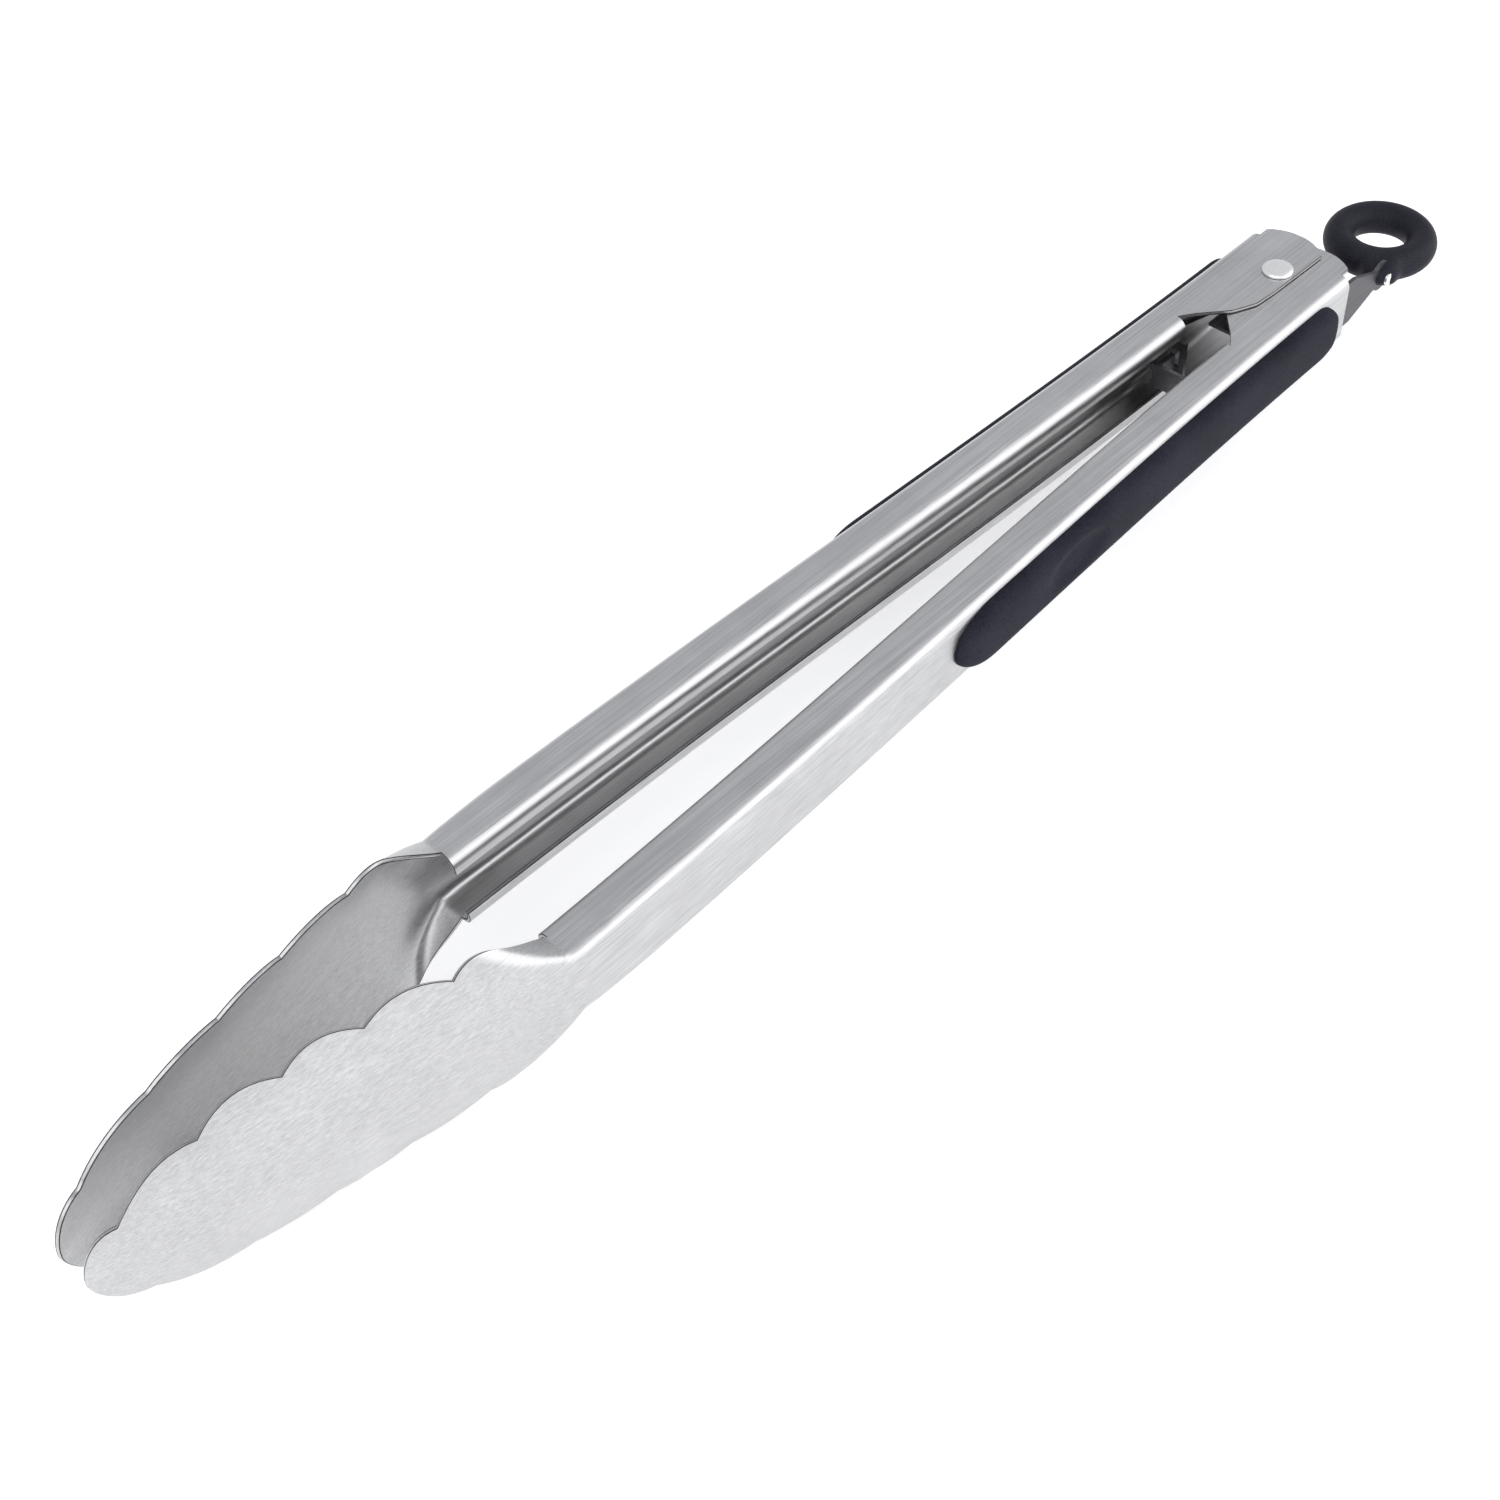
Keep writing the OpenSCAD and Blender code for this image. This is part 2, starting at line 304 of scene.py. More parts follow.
def tube(path, radius, segments=WIRE_SIDES):
    """Closed round wire along a path, with rounded ends."""
    frames = wire_frames(path)
    rings = wire_cap(frames[0], radius, -1)
    rings += [(point, side, top, radius) for point, _, side, top in frames]
    rings += wire_cap(frames[-1], radius, 1)[::-1]
    verts = []
    for point, side, top, size in rings:
        for i in range(segments):
            angle = 2 * math.pi * i / segments
            verts.append(point + size * (side * math.cos(angle) + top * math.sin(angle)))
    faces = []
    for r in range(len(rings) - 1):
        for i in range(segments):
            j = (i + 1) % segments
            low, high = r * segments, (r + 1) * segments
            faces.append((low + i, low + j, high + j, high + i))
    faces.append(tuple(reversed(range(segments))))
    faces.append(tuple(range((len(rings) - 1) * segments, len(rings) * segments)))
    return verts, faces


# ---------------------------------------------------------------- arms

# Steps across one half of the section: the back's wall, each fold, the flange and the lip
FOLD_STEPS = 7
BACK_COLUMNS = 9
FLANGE_COLUMNS = 15
LIP_COLUMNS = 4
FLANGE_FIRST = BACK_COLUMNS + FOLD_STEPS
RIM = FLANGE_FIRST + FLANGE_COLUMNS
COLUMNS = RIM + FOLD_STEPS + LIP_COLUMNS

# Rows along each stretch of an arm
ROWS = {"lobe": 16, "step": 56, "channel": 70, "rounding": 20, "shoulder": 14, "first_rise": 12,
        "scallop": 16, "tip": 14}
# Half the angle of the lobe's flat end, and the gap between the step's last row and the lip
TAIL_FLAT = 0.12
LIP_STEP = 0.15
ROUND_START = NECK_U - 20


def fold_arc(centre, radius, start, end, steps):
    return [(centre[0] + radius * math.cos(a), centre[1] + radius * math.sin(a))
            for a in spaced(start, end, steps)]


def channel_section(u, half_h):
    """(y, z) from the middle of the back, round the fold, over the flange to the lip's end."""
    back = back_y(u)
    # Where there is no lip, the flange itself runs on to the free edge
    free = free_edge_y(u) - (LIP_FOLD_R if u < LIP_START_U else 0)
    quarter = math.pi / 2
    wall = [(back, z) for z in spaced(0, half_h - FOLD_R, BACK_COLUMNS)]
    fold = fold_arc((back - FOLD_R, half_h - FOLD_R), FOLD_R, 0, quarter, FOLD_STEPS)
    flange = [(y, half_h) for y in spaced(flange_start_y(u), free + LIP_FOLD_R, FLANGE_COLUMNS)]
    lip_fold = fold_arc((free + LIP_FOLD_R, half_h - LIP_FOLD_R), LIP_FOLD_R, quarter, 2 * quarter,
                        FOLD_STEPS)
    lip = [(free, z) for z in spaced(half_h - LIP_FOLD_R, half_h - LIP_H, LIP_COLUMNS)]
    return wall[:-1] + fold[:-1] + flange[:-1] + lip_fold[:-1] + lip


def lobe_reach(u):
    return math.sqrt(max(0.0, LOBE_R ** 2 - (u - LOBE_U) ** 2))


def flange_start_y(u):
    start = back_y(u) - FOLD_R
    return start if u > LOBE_U else min(start, LOBE_Y + lobe_reach(u))


def step_line(u):
    for (u0, y0), (u1, y1) in zip(STEP, STEP[1:]):
        if u <= u1:
            return y0 + (y1 - y0) * max(0.0, u - u0) / (u1 - u0)
    return STEP[-1][1]


def free_edge_y(u):
    """The flange's free edge, with the corners of its step rounded off."""
    if u >= LIP_START_U:
        return back_y(u) - FLANGE_W
    samples = [step_line(u + d) for d in spaced(-STEP_ROUND, STEP_ROUND, STEP_SAMPLES)]
    line = sum(samples) / len(samples)
    return line if u > LOBE_U else max(line, LOBE_Y - lobe_reach(u))


def body_r(u):
    """Radius of the scoop's round body about an axis beyond the middle plane."""
    back = BACK_Y0 + BACK_FLARE - SCOOP_TAPER * max(0.0, u - TAPER_START)
    past = min(1.0, max(0.0, (u - TIP_START) / (SCOOP_END - TIP_START)))
    return SCOOP_AXIS_Y + back * (1 - past ** TIP_FULLNESS) ** TIP_BLUNTNESS


def scallop_z(u, low, high, rise):
    """Height on an arc from low to high that bulges by rise."""
    (u0, z0), (u1, z1) = low, high
    t = (u - u0) / (u1 - u0)
    bulge = rise * math.hypot(u1 - u0, z1 - z0) / (u1 - u0) * 4 * t * (1 - t)
    return z0 + (z1 - z0) * t + bulge


def rim_z(u, half_h):
    """Half height of the flange's fold, then of the shoulder and the scalloped rim."""
    if u <= NECK_U:
        return half_h
    if u <= SHOULDER[0]:
        return half_h + (SHOULDER[1] - half_h) * (u - NECK_U) / (SHOULDER[0] - NECK_U)
    if u <= NOTCHES[0][0]:
        return scallop_z(u, SHOULDER, NOTCHES[0], SHOULDER_RISE)
    for low, high in zip(NOTCHES, NOTCHES[1:]):
        if u <= high[0]:
            return scallop_z(u, low, high, SCALLOP_RISE)
    last_u, last_z = NOTCHES[-1]
    t = min(1.0, (u - last_u) / (TIP_U - last_u))
    return last_z * (1 - t ** RIM_TIP_FULLNESS) ** RIM_TIP_BLUNTNESS + RIM_TIP_BULGE * t * (1 - t)


def lengths_along(points):
    """Length of a line of points from its start to each of them."""
    lengths = [0.0]
    for p, q in zip(points, points[1:]):
        lengths.append(lengths[-1] + math.dist(p, q))
    return lengths


def scoop_section(u, half_h):
    """Section columns from the middle of the back to the rim, blended out of the channel."""
    channel = channel_section(u, half_h)[:RIM + 1]
    back_round = ease((u - ROUND_START) / (NOTCHES[0][0] - ROUND_START))
    rim_round = ease((u - NECK_U) / (NOTCHES[0][0] - NECK_U))
    radius = body_r(u)
    height = rim_z(u, half_h)
    end = math.asin(min(MAX_SINE, height / radius))
    stretch = height / channel[-1][1]
    lengths = lengths_along(channel)
    section = []
    for (y, z), length in zip(channel, lengths):
        t = length / lengths[-1]
        roundness = back_round + (rim_round - back_round) * t ** 2
        angle = end * t
        round_y = -SCOOP_AXIS_Y + radius * math.cos(angle)
        round_z = radius * math.sin(angle)
        section.append((y + (round_y - y) * roundness,
                        z * stretch + (round_z - z * stretch) * roundness))
    return section


def stations():
    """Rows along the arm, closer together where the outline bends."""
    wall_angle = math.acos((LOBE_U - WALL_TAIL_U) / LOBE_R)
    lobe = spaced(TAIL_FLAT, wall_angle, ROWS["lobe"])[:-1]
    rows = [LOBE_U - LOBE_R * math.cos(a) for a in lobe]
    rows += spaced(WALL_TAIL_U, LIP_START_U - LIP_STEP, ROWS["step"])
    rows += spaced(LIP_START_U, ROUND_START, ROWS["channel"])[:-1]
    rows += spaced(ROUND_START, NECK_U, ROWS["rounding"])[:-1]
    rows += spaced(NECK_U, SHOULDER[0], ROWS["shoulder"])[:-1]
    rows += spaced(SHOULDER[0], NOTCHES[0][0], ROWS["first_rise"])[:-1]
    for low, high in zip(NOTCHES, NOTCHES[1:]):
        rows += spaced(low[0], high[0], ROWS["scallop"])[:-1]
    reach = TIP_U - NOTCHES[-1][0]
    rows += [NOTCHES[-1][0] + reach * math.sin(a) for a in spaced(0, math.pi / 2, ROWS["tip"])]
    return rows


def arm_section(u, half_h):
    """The whole half section at u. Where the scoop rounds it, the lip moves with the rim."""
    channel = channel_section(u, half_h)
    if u < ROUND_START:
        return channel
    section = scoop_section(u, half_h)
    shift_y = section[-1][0] - channel[RIM][0]
    shift_z = section[-1][1] - channel[RIM][1]
    return section + [(y + shift_y, z + shift_z) for y, z in channel[RIM + 1:]]


def columns_at(middle):
    """The columns that have faces at u: the lobe has no back wall, and only the channel has a lip."""
    first = FLANGE_FIRST if middle < WALL_TAIL_U else 0
    last = COLUMNS if LIP_START_U < middle < NECK_U else RIM
    return range(first, last)


def in_rivet_hole(middle, sections, row, column):
    if not FLANGE_FIRST <= column < RIM:
        return False
    y = sum(sections[r][c][0] for r in (row, row + 1) for c in (column, column + 1)) / 4
    return math.hypot(middle, y) < RIVET_HOLE_R


def arm_sheet(half_h):
    """Outer face of an arm, both halves, as (u, y, z) points and faces."""
    rows = stations()
    sections = [arm_section(u, half_h) for u in rows]
    verts = []
    index = {}

    def vertex(row, column, sign):
        """The point's number. Both halves share the points on the middle line and the tip."""
        if row == len(rows) - 1:
            column = 0
        if column == 0:
            sign = 0
        key = (row, column, sign)
        if key not in index:
            y, z = sections[row][column]
            index[key] = len(verts)
            verts.append((rows[row], y, z * sign))
        return index[key]

    faces = []
    for row in range(len(rows) - 1):
        middle = (rows[row] + rows[row + 1]) / 2
        for column in columns_at(middle):
            if in_rivet_hole(middle, sections, row, column):
                continue
            for sign in (1, -1):
                a = vertex(row, column, sign)
                b = vertex(row + 1, column, sign)
                c = vertex(row + 1, column + 1, sign)
                d = vertex(row, column + 1, sign)
                quad = turned((a, b, c, d), sign > 0)
                quad = tuple(v for i, v in enumerate(quad) if v != quad[i - 1])
                if len(quad) >= 3:
                    faces.append(quad)
    return round_hole(np.array(verts), faces)


def round_hole(verts, faces):
    """Moves the edge of the rivet's hole onto a circle."""
    on_edge = {v for edge in open_edges(faces) for v in edge}
    for v in on_edge:
        reach = math.hypot(verts[v][0], verts[v][1])
        if reach < RIVET_HOLE_R + HOLE_EDGE_STRAY:
            verts[v][:2] *= RIVET_HOLE_R / reach
    return verts, faces


def darken_corners(arm, face_count):
    """Gives the two corner strips of the sheet's cut edge the second material: near black steel that paints thin
    shade lines along the edge.
    """
    edge_start = 2 * face_count
    for polygon in arm.data.polygons:
        strip = (polygon.index - edge_start) % EDGE_STRIPS
        if polygon.index >= edge_start and strip in (0, EDGE_STRIPS - 1):
            polygon.material_index = 1


def build_arm(node):
    side = SIDE[node]
    verts, faces = arm_sheet(HALF_H[node])
    faces = [turned(face, side > 0) for face in faces]
    outer, faces = drop_unused(place(verts, side), faces)
    face_count = len(faces)
    solid, faces = thicken(outer, faces, SHEET * MM, EDGE_ROUND * MM)
    arm = new_object(node + "_sheet", solid, faces, smooth_angle=50)
    darken_corners(arm, face_count)
    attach(arm, node)
    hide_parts(node)
    return arm


# ---------------------------------------------------------------- grips

GRIP_TAIL_U = (PIVOT.x - GRIP_HIGH.x) / MM
GRIP_HEAD_U = (PIVOT.x - GRIP_LOW.x) / MM
GRIP_T = 3.0
GRIP_SINK = 0.03
GRIP_SAG = 0.1
GRIP_CROWN = 0.14
GRIP_EDGE_POWER = 7
GRIP_TAIL_ROUND = 3.2
GRIP_HEAD_ROUND = 9
GRIP_HEAD_REACH = 12
GRIP_END_FLAT = 0.12
GRIP_ROWS = {"tail": 16, "middle": 90, "head": 20}
GRIP_COLUMNS = 34
DIMPLE = {"u": 100, "z": 0.4, "u_reach": 9.5, "z_reach": 4.0, "depth": 1.0}


def seat_y(u, z, half_h):
    """Height of the arm's outer face under the grip."""
    past = abs(z) - (half_h - FOLD_R)
    if past <= 0:
        return back_y(u)
    return back_y(u) - FOLD_R + math.sqrt(max(0.0, FOLD_R ** 2 - past ** 2))


def grip_width(u, half):
    """Half height of the grip's outline, round at the tail and longer drawn at the head."""
    for end, way, reach in ((GRIP_TAIL_U, -1, half), (GRIP_HEAD_U, 1, GRIP_HEAD_REACH)):
        past = ((u - end) * way + reach) / reach
        if past > 0:
            return half * math.sqrt(max(0.0, 1 - past ** 2))
    return half


def grip_height(u, across):
    """Crowned height over the seat, falling to the edge in a tight round."""
    edge = 1 - abs(across) ** GRIP_EDGE_POWER
    ends = min((u - GRIP_TAIL_U) / GRIP_TAIL_ROUND, (GRIP_HEAD_U - u) / GRIP_HEAD_ROUND)
    end_round = 1.0 if ends >= 1 else math.sqrt(max(0.0, 1 - (1 - ends) ** 2))
    crown = 1 - GRIP_CROWN + GRIP_CROWN * (1 - across * across)
    return GRIP_T * crown * edge ** 0.5 * end_round


def dimple(u, z):
    """Depth of the thumb's dimple."""
    du = (u - DIMPLE["u"]) / DIMPLE["u_reach"]
    dz = (z - DIMPLE["z"]) / DIMPLE["z_reach"]
    return DIMPLE["depth"] * math.exp(-(du * du + dz * dz) ** 3)


def grip_rows(half):
    """Rows along the grip, closer together at its round ends."""
    tail = spaced(GRIP_END_FLAT, math.pi / 2, GRIP_ROWS["tail"])
    head = spaced(0, math.pi / 2 - GRIP_END_FLAT, GRIP_ROWS["head"])
    rows = [GRIP_TAIL_U + half * (1 - math.cos(a)) for a in tail]
    rows += spaced(rows[-1], GRIP_HEAD_U - GRIP_HEAD_REACH, GRIP_ROWS["middle"])[1:]
    rows += [GRIP_HEAD_U - GRIP_HEAD_REACH * (1 - math.sin(a)) for a in head][1:]
    return rows


def grip_points(rows, across, half, half_h):
    """The grip's outer face row by row, and then its hidden face in the same order."""
    outer = []
    hidden = []
    for u in rows:
        for k in across:
            z = k * grip_width(u, half)
            seat = seat_y(u, z, half_h)
            outer.append((u, seat + grip_height(u, k) - dimple(u, z), z))
            hidden.append((u, seat - GRIP_SINK - GRIP_SAG * (1 - k * k), z))
    return outer + hidden


def slab_faces(row_count, width):
    """Faces of a closed slab: its outer grid, its hidden grid and the walls between them."""
    base = row_count * width
    faces = []
    for r in range(row_count - 1):
        for c in range(width - 1):
            a = r * width + c
            faces.append((a, a + 1, a + 1 + width, a + width))
            faces.append((base + a + width, base + a + 1 + width, base + a + 1, base + a))
        for c, flip in ((0, False), (width - 1, True)):
            a = r * width + c
            faces.append(turned((a, a + width, base + a + width, base + a), flip))
    for r, flip in ((0, True), (row_count - 1, False)):
        for c in range(width - 1):
            a = r * width + c
            faces.append(turned((a, a + 1, base + a + 1, base + a), flip))
    return faces


def build_grip(node, body):
    side = SIDE[body]
    low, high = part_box(node)
    half = (high.z - low.z) / 2 / MM
    rows = grip_rows(half)
    across = [math.sin(a) for a in spaced(-math.pi / 2, math.pi / 2, GRIP_COLUMNS)]
    verts = grip_points(rows, across, half, HALF_H[body])
    faces = [turned(face, side > 0) for face in slab_faces(len(rows), len(across))]
    grip = new_object(node + "_rubber", place(verts, side), faces, smooth_angle=60)
    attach(grip, body)
    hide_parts(node)
    return grip


# ---------------------------------------------------------------- ring

RING_SECTION_R = (RING_HIGH.z - RING_LOW.z) / 2
RING_R = RING_HIGH.y - (RING_HIGH.y + RING_LOW.y) / 2 - RING_SECTION_R
RING_CENTRE = Vector((RING_HIGH.x - RING_R - RING_SECTION_R,
                      (RING_HIGH.y + RING_LOW.y) / 2, PIVOT.z))
EYE = Vector(JOINTS["ring_swing"]["pos_m"])


LUG_PAST_EYE = 2.6 * MM
LUG_SPREAD = 0.3
LUG_TAPER = 0.12
RING_AROUND = 144
RING_SIDES = 40


def ring_point(angle, turn, lug, lug_reach):
    """A point on the ring's tube. The tube's outside is drawn out to lug_reach where lug is 1."""
    out = RING_SECTION_R * math.cos(turn)
    if out > 0:
        out *= 1 + lug * ((lug_reach - RING_R) / RING_SECTION_R - 1)
    radius = RING_R + out
    z = RING_SECTION_R * math.sin(turn)
    z *= 1 - LUG_TAPER * lug * max(0.0, math.cos(turn))
    return (RING_CENTRE.x + radius * math.cos(angle),
            RING_CENTRE.y + radius * math.sin(angle), RING_CENTRE.z + z)


def torus_faces(around, sides):
    faces = []
    for i in range(around):
        for j in range(sides):
            a = i * sides + j
            b = i * sides + (j + 1) % sides
            c = ((i + 1) % around) * sides
            faces.append((a, c + j, c + (j + 1) % sides, b))
    return faces


def build_ring():
    """A round ring whose tube swells into the lug that holds the pin."""
    to_eye = EYE - RING_CENTRE
    eye_angle = math.atan2(to_eye.y, to_eye.x)
    lug_reach = to_eye.length + LUG_PAST_EYE
    verts = []
    for i in range(RING_AROUND):
        angle = eye_angle + 2 * math.pi * i / RING_AROUND
        off = (angle - eye_angle + math.pi) % (2 * math.pi) - math.pi
        lug = math.exp(-(off / LUG_SPREAD) ** 4)
        for j in range(RING_SIDES):
            verts.append(ring_point(angle, 2 * math.pi * j / RING_SIDES, lug, lug_reach))
    ring = new_object("pull_ring_rubber", verts, torus_faces(RING_AROUND, RING_SIDES), smooth_angle=60)
    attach(ring, "pull_ring")
    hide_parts("pull_ring")
    return ring


PIN_R = 1.6 * MM
PIN_LEN = 5.6 * MM
PIN_STEPS = 8


def build_pin():
    """Pin through the lug and the strip's eye."""
    path = [EYE + Vector((0, PIN_LEN * (t - 0.5), 0)) for t in spaced(0, 1, PIN_STEPS)]
    verts, faces = tube([np.array(p) for p in path], PIN_R)
    pin = new_object("ring_pin_steel", verts, faces, smooth_angle=50)
    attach(pin, "pull_ring")
    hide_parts("ring_pin")
    return pin


# ---------------------------------------------------------------- rivet and spring

RIVET_SHANK_R = 2.5 * MM
RIVET_RIM = 0.35 * MM
RIVET_RIM_ROUND = 0.2 * MM
RIVET_SIDES = 72
DOME_STEPS = 14


def build_rivet():
    """Shank with two domed heads whose rims are rounded over."""
    head_r = (RIVET_HIGH.x - RIVET_LOW.x) / 2
    head_top = (RIVET_HIGH.z - RIVET_LOW.z) / 2
    seat = REAR_HALF_H * MM
    dome_h = head_top - seat - RIVET_RIM
    half = [(head_r * math.sin(a), seat + RIVET_RIM + dome_h * math.cos(a))
            for a in spaced(0, math.pi / 2, DOME_STEPS)]
    half += [(head_r, seat + RIVET_RIM * 0.5), (head_r - RIVET_RIM_ROUND, seat), (RIVET_SHANK_R, seat)]
    profile = half + [(r, -z) for r, z in reversed(half)]
    verts, faces = lathe(profile, RIVET_SIDES)
    faces = [turned(face, True) for face in faces]
    rivet = new_object("pivot_rivet_steel", verts + np.array(PIVOT), faces, smooth_angle=45)
    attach(rivet, "rear_arm")
    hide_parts("pivot_rivet")
    return rivet


WIRE_R = 0.75 * MM
COIL_R = 4.8 * MM
COIL_TURNS = 3.0
STEPS_PER_TURN = 24
LEG_LEN = 27 * MM
LEG_START = 0.04
LEG_STEPS = 12


def spring_coil():
    """The coil's wire from the rear leg to the front one, its turns and half a turn more."""
    rise = SPRING_HIGH.z - SPRING_LOW.z - 2 * WIRE_R
    steps = int(COIL_TURNS * STEPS_PER_TURN)
    coil = []
    for i in range(steps + 1):
        angle = math.pi / 2 - (2 * math.pi * COIL_TURNS + math.pi) * i / steps
        coil.append((COIL_R * math.cos(angle), COIL_R * math.sin(angle), rise / 2 - rise * i / steps))
    return coil


def spring_leg(coil_end, y_end):
    """A straight leg from the coil's end to an arm's back."""
    x, y, z = coil_end
    return [(x - LEG_LEN * t, y + (y_end - y) * t, z) for t in spaced(LEG_START, 1, LEG_STEPS)]


def build_spring():
    """One wire helix with a leg to each arm, in two halves that each ride on their own arm."""
    coil = spring_coil()
    rear_leg = spring_leg(coil[0], SPRING_HIGH.y - WIRE_R)
    front_leg = spring_leg(coil[-1], SPRING_LOW.y + WIRE_R)
    path = rear_leg[::-1] + coil + front_leg
    middle = len(rear_leg) + (len(coil) - 1) // 2
    pieces = []
    for name, body, part in (("torsion_spring_rear", "rear_arm", path[:middle + 1]),
                             ("torsion_spring_front", "front_arm", path[middle:])):
        verts, faces = tube([np.array(p) + np.array(PIVOT) for p in part], WIRE_R)
        piece = new_object(name, verts, faces, smooth_angle=50)
        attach(piece, body)
        pieces.append(piece)
    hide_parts("torsion_spring")
    return pieces


# ---------------------------------------------------------------- materials

def node_tree(name):
    material = bpy.data.materials.new(name)
    material.use_nodes = True
    tree = material.node_tree
    tree.nodes.clear()
    output = tree.nodes.new("ShaderNodeOutputMaterial")
    shader = tree.nodes.new("ShaderNodeBsdfPrincipled")
    tree.links.new(shader.outputs["BSDF"], output.inputs["Surface"])
    return material, tree, shader


def mapped(tree, scale, rotation=(0, 0, 0)):
    coords = tree.nodes.new("ShaderNodeTexCoord")
    mapping = tree.nodes.new("ShaderNodeMapping")
    mapping.inputs["Scale"].default_value = scale
    mapping.inputs["Rotation"].default_value = rotation
    tree.links.new(coords.outputs["Object"], mapping.inputs["Vector"])
    return mapping.outputs["Vector"]


def noise(tree, vector, scale, detail=4.0, roughness=0.6, distortion=0.0):
    node = tree.nodes.new("ShaderNodeTexNoise")
    node.inputs["Scale"].default_value = scale
    node.inputs["Detail"].default_value = detail
    node.inputs["Roughness"].default_value = roughness
    node.inputs["Distortion"].default_value = distortion
    tree.links.new(vector, node.inputs["Vector"])
    return node.outputs["Fac"]


def remap(tree, value, low, high, from_low=0.3, from_high=0.7):
    node = tree.nodes.new("ShaderNodeMapRange")
    node.inputs["From Min"].default_value = from_low
    node.inputs["From Max"].default_value = from_high
    node.inputs["To Min"].default_value = low
    node.inputs["To Max"].default_value = high
    tree.links.new(value, node.inputs["Value"])
    return node.outputs["Result"]


def blend_colors(tree, factor, dark, light):
    node = tree.nodes.new("ShaderNodeMix")
    node.data_type = "RGBA"
    node.inputs[6].default_value = (*dark, 1)
    node.inputs[7].default_value = (*light, 1)
    tree.links.new(factor, node.inputs["Factor"])
    return node.outputs[2]


def math_node(tree, operation, a, b):
    node = tree.nodes.new("ShaderNodeMath")
    node.operation = operation
    for socket, value in zip(node.inputs, (a, b)):
        if isinstance(value, (int, float)):
            socket.default_value = value
        else:
            tree.links.new(value, socket)
    return node.outputs["Value"]


def bump(tree, shader, height, strength, distance):
    node = tree.nodes.new("ShaderNodeBump")
    node.inputs["Strength"].default_value = strength
    node.inputs["Distance"].default_value = distance
    tree.links.new(height, node.inputs["Height"])
    tree.links.new(node.outputs["Normal"], shader.inputs["Normal"])


# Noise scales: even ones, and ones drawn out along X as the brushing is
EVEN = (1, 1, 1)
BRUSH_LINES = (18, 2600, 2600)
FINE_BRUSH_LINES = (60, 7000, 7000)
STEEL_CLOUDS = 70
RUBBER_GRAIN = 2600
RUBBER_CLOUDS = 60
# The stretch of the mixed noise that the colours and the roughness run over
MIX_LOW, MIX_HIGH = 0.38, 0.62
# Strength and distance of each bump
STEEL_BUMP = (0.06, 0.00002)
RUBBER_BUMP = (0.25, 0.00006)


def brushed_steel(name, dark, light, rough):
    """Steel with a fine grain along X and soft clouds."""
    material, tree, shader = node_tree(name)
    lines = noise(tree, mapped(tree, BRUSH_LINES), 1.0, 3.0, 0.7)
    fine = noise(tree, mapped(tree, FINE_BRUSH_LINES), 1.0, 2.0, 0.6)
    clouds = noise(tree, mapped(tree, EVEN), STEEL_CLOUDS, 4.0, 0.6, 0.4)
    mixed = math_node(tree, "ADD", math_node(tree, "MULTIPLY", lines, 0.45),
                      math_node(tree, "ADD", math_node(tree, "MULTIPLY", fine, 0.4),
                                math_node(tree, "MULTIPLY", clouds, 0.15)))
    tree.links.new(blend_colors(tree, remap(tree, mixed, 0, 1, MIX_LOW, MIX_HIGH), dark, light),
                   shader.inputs["Base Color"])
    shader.inputs["Metallic"].default_value = 1.0
    tree.links.new(remap(tree, mixed, rough - 0.05, rough + 0.08, MIX_LOW, MIX_HIGH),
                   shader.inputs["Roughness"])
    shader.inputs["Anisotropic"].default_value = 0.35
    bump(tree, shader, mixed, *STEEL_BUMP)
    return material


def rubber(name, dark, light, rough):
    """Matte moulded rubber: a fine grain and slow tone changes."""
    material, tree, shader = node_tree(name)
    grain = noise(tree, mapped(tree, EVEN), RUBBER_GRAIN, 3.0, 0.65)
    tone = noise(tree, mapped(tree, EVEN), RUBBER_CLOUDS, 4.0, 0.6)
    mixed = math_node(tree, "ADD", math_node(tree, "MULTIPLY", grain, 0.5),
                      math_node(tree, "MULTIPLY", tone, 0.5))
    tree.links.new(blend_colors(tree, remap(tree, mixed, 0, 1, MIX_LOW, MIX_HIGH), dark, light),
                   shader.inputs["Base Color"])
    tree.links.new(remap(tree, tone, rough - 0.06, rough + 0.08), shader.inputs["Roughness"])
    shader.inputs["Specular IOR Level"].default_value = 0.12
    bump(tree, shader, grain, *RUBBER_BUMP)
    return material


# The floor stands for a lit white sweep
FLOOR_GLOW = 0.32
FLOOR_DARK, FLOOR_LIGHT = (0.93, 0.93, 0.93), (0.96, 0.96, 0.96)


def floor_material():
    material, tree, shader = node_tree("pale_floor")
    tone = noise(tree, mapped(tree, EVEN), 6, 3.0, 0.5)
    tree.links.new(blend_colors(tree, remap(tree, tone, 0, 1), FLOOR_DARK, FLOOR_LIGHT),
                   shader.inputs["Base Color"])
    shader.inputs["Roughness"].default_value = 0.9
    shader.inputs["Emission Color"].default_value = (1, 1, 1, 1)
    shader.inputs["Emission Strength"].default_value = FLOOR_GLOW
    shader.inputs["Specular IOR Level"].default_value = 0.1
    return material


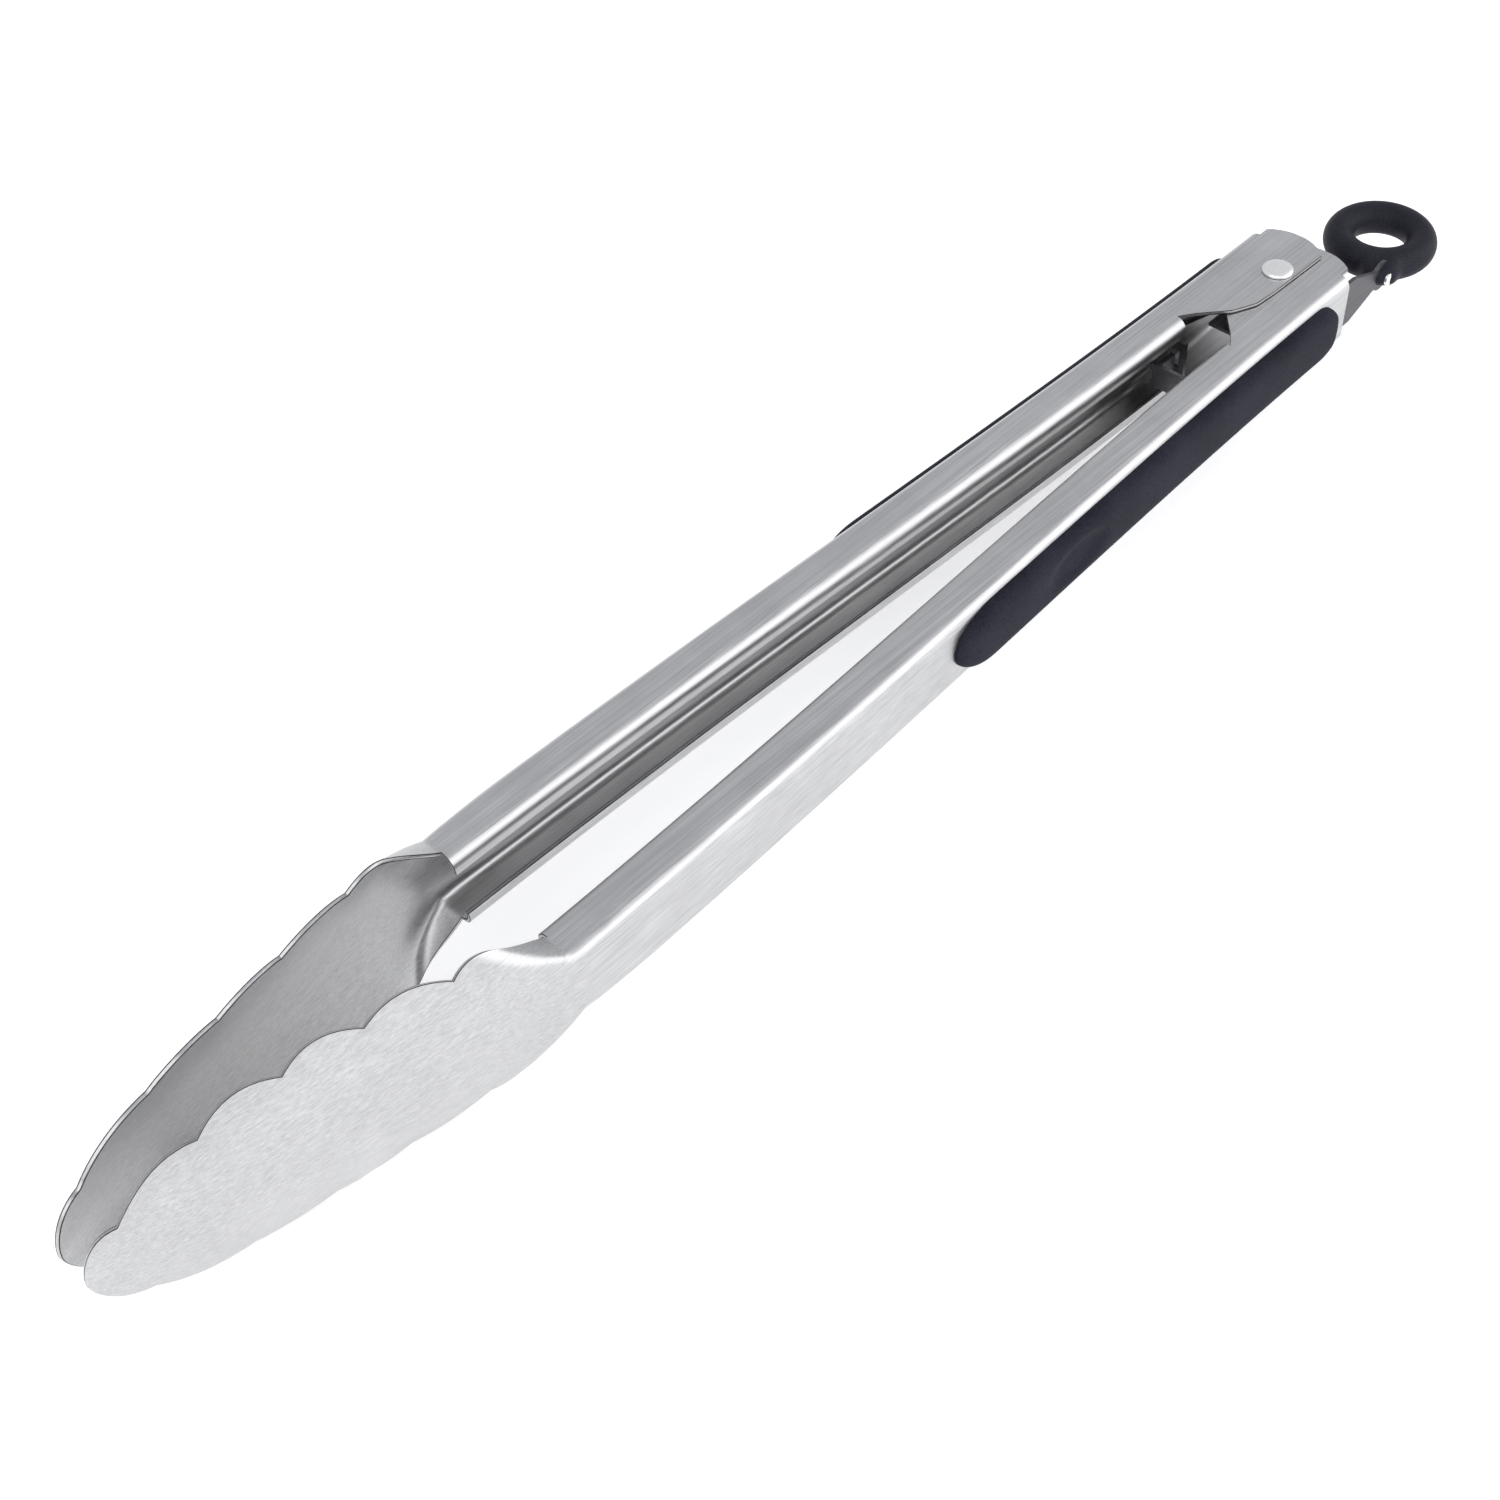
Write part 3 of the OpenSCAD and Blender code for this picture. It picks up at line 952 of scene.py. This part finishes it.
MATERIALS = {
    "arm_steel": brushed_steel("arm_steel_brushed", (0.43, 0.43, 0.435), (0.64, 0.64, 0.64), 0.35),
    # Near black steel for the corners of the cut edge: painted shade lines along the sheet's edges
    "edge_painted_shade": brushed_steel("arm_steel_edge_painted_shade", (0.03, 0.03, 0.032), (0.09, 0.09, 0.092), 0.5),
    "rivet_steel": brushed_steel("rivet_steel_tumbled", (0.84, 0.84, 0.83), (0.94, 0.94, 0.93), 0.26),
    "spring_steel": brushed_steel("spring_steel_wire", (0.16, 0.16, 0.165), (0.30, 0.30, 0.31), 0.32),
    # Nearly black steel: partly the slider's dark plating, partly painted shade that keeps the channel's window
    # dark
    "slider_steel": brushed_steel("slider_steel_plating_and_shade", (0.08, 0.08, 0.085), (0.17, 0.17, 0.18), 0.42),
    "grip_rubber": rubber("grip_rubber_charcoal", (0.005, 0.006, 0.012), (0.022, 0.023, 0.034), 0.66),
    "ring_rubber": rubber("ring_rubber_charcoal", (0.006, 0.006, 0.011), (0.024, 0.024, 0.034), 0.5),
}


def wear(obj, slot_name):
    """Gives an object one material, and keeps which slot each of its faces uses."""
    indices = [polygon.material_index for polygon in obj.data.polygons]
    obj.data.materials.clear()
    obj.data.materials.append(MATERIALS[slot_name])
    obj.data.polygons.foreach_set("material_index", indices)


# ---------------------------------------------------------------- the object

for arm_node in ("rear_arm", "front_arm"):
    sheet_arm = build_arm(arm_node)
    wear(sheet_arm, "arm_steel")
    # The second slot: the painted shade on the cut edge's corners
    sheet_arm.data.materials.append(MATERIALS["edge_painted_shade"])
wear(build_grip("rear_grip", "rear_arm"), "grip_rubber")
wear(build_grip("front_grip", "front_arm"), "grip_rubber")
wear(build_ring(), "ring_rubber")
wear(build_pin(), "rivet_steel")
wear(build_rivet(), "rivet_steel")
for wire in build_spring():
    wear(wire, "spring_steel")
SLOT_OF = {part["node"]: part["material_slot"] for part in frame["record"]["subparts"]}
for kept in ("spacer_sleeve", "lock_slider", "guide_rivet", "lock_keeper"):
    wear(frame["nodes"][kept], SLOT_OF[kept])


# ---------------------------------------------------------------- stage, light and camera

FLOOR_REACH = 3.0
FLOOR_SQUARES = 12


def build_floor():
    """A flat square grid under the tongs."""
    count = FLOOR_SQUARES
    lines = [FLOOR_REACH * (2 * i / count - 1) for i in range(count + 1)]
    verts = [(x, y, 0) for x in lines for y in lines]
    faces = []
    for i in range(count):
        for j in range(count):
            a = i * (count + 1) + j
            faces.append((a, a + count + 1, a + count + 2, a + 1))
    floor = new_object("floor", verts, faces)
    floor.data.materials.append(floor_material())


def area_light(name, direction, distance, size, power):
    """A soft panel that faces the tongs from a direction."""
    data = bpy.data.lights.new(name, "AREA")
    data.shape = "RECTANGLE"
    data.size, data.size_y = size
    data.energy = power
    light = bpy.data.objects.new(name, data)
    toward = Vector(direction).normalized()
    light.location = toward * distance
    light.rotation_euler = toward.to_track_quat("Z", "Y").to_euler()
    bpy.context.scene.collection.objects.link(light)


def light_world(color, strength):
    world = bpy.data.worlds.new("studio")
    world.use_nodes = True
    background = world.node_tree.nodes["Background"]
    background.inputs["Color"].default_value = (*color, 1)
    background.inputs["Strength"].default_value = strength
    bpy.context.scene.world = world


build_floor()
area_light("panel_right", direction=(0.5, -0.8, 0.45), distance=1.5, size=(2.4, 1.1), power=13)
area_light("panel_left", direction=(-0.7, -0.25, 0.75), distance=1.6, size=(2.0, 1.6), power=10)
light_world(color=(0.95, 0.96, 1.0), strength=0.72)
bpy.context.scene.view_settings.view_transform = "Standard"


# The camera was fitted to points measured in the photo
CAMERA_AZIMUTH = math.radians(-48.5)
CAMERA_ELEVATION = math.radians(51.06)
CAMERA_ROLL = math.radians(-0.81)
CAMERA_DISTANCE = 359.83 * MM
CAMERA_TARGET = PIVOT + Vector((-182.46, -46.76, 0)) * MM
IMAGE_WIDTHS_TO_FOCUS = 1.2962
IMAGE_SHIFT = (-0.1138, 0.0711)
SENSOR = 36.0


def camera_axes():
    """The camera's right, its up and the direction behind it, tilted by its roll."""
    right = Vector((math.cos(CAMERA_AZIMUTH), math.sin(CAMERA_AZIMUTH), 0))
    behind = Vector((math.sin(CAMERA_AZIMUTH) * math.cos(CAMERA_ELEVATION),
                     -math.cos(CAMERA_AZIMUTH) * math.cos(CAMERA_ELEVATION),
                     math.sin(CAMERA_ELEVATION)))
    upward = behind.cross(right)
    tilted_right = right * math.cos(CAMERA_ROLL) + upward * math.sin(CAMERA_ROLL)
    tilted_up = upward * math.cos(CAMERA_ROLL) - right * math.sin(CAMERA_ROLL)
    return tilted_right, tilted_up, behind


def add_camera():
    data = bpy.data.cameras.new("camera")
    data.sensor_width = SENSOR
    data.lens = SENSOR * IMAGE_WIDTHS_TO_FOCUS
    data.shift_x, data.shift_y = IMAGE_SHIFT
    camera = bpy.data.objects.new("camera", data)
    right, up, behind = camera_axes()
    turn = Matrix((right, up, behind)).transposed().to_4x4()
    camera.matrix_world = Matrix.Translation(CAMERA_TARGET + behind * CAMERA_DISTANCE) @ turn
    bpy.context.scene.collection.objects.link(camera)
    bpy.context.scene.camera = camera


add_camera()
